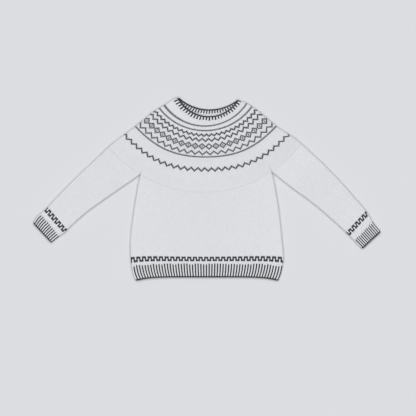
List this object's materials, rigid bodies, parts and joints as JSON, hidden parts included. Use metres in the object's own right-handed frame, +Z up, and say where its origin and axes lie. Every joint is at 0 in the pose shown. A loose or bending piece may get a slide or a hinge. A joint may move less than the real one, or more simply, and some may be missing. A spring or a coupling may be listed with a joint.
{
  "type": "nordic yoke sweater",
  "caption": "Knitted pullover laid flat, with a round patterned yoke, long sleeves, and ribbed neck, cuffs and hem.",
  "frame": {"origin": "centre of the laid garment's box, on the surface it lies on", "axes": "+X from the wearer's right cuff to the left, +Y from hem to neck, +Z up out of the front"},
  "size_m": [1.209, 0.637, 0.0096],
  "materials": {
    "knit": "plain wool knitting, matt, with charcoal colourwork",
    "rib": "ribbed wool knitting, matt"
  },
  "bodies": {
    "root": {"front": "knit", "back": "knit", "yoke": "knit", "sleeve_left": "knit", "sleeve_right": "knit", "neckband": "rib", "hem_rib_front": "rib", "hem_rib_back": "rib", "cuff_left": "rib", "cuff_right": "rib"}
  },
  "joints": []
}
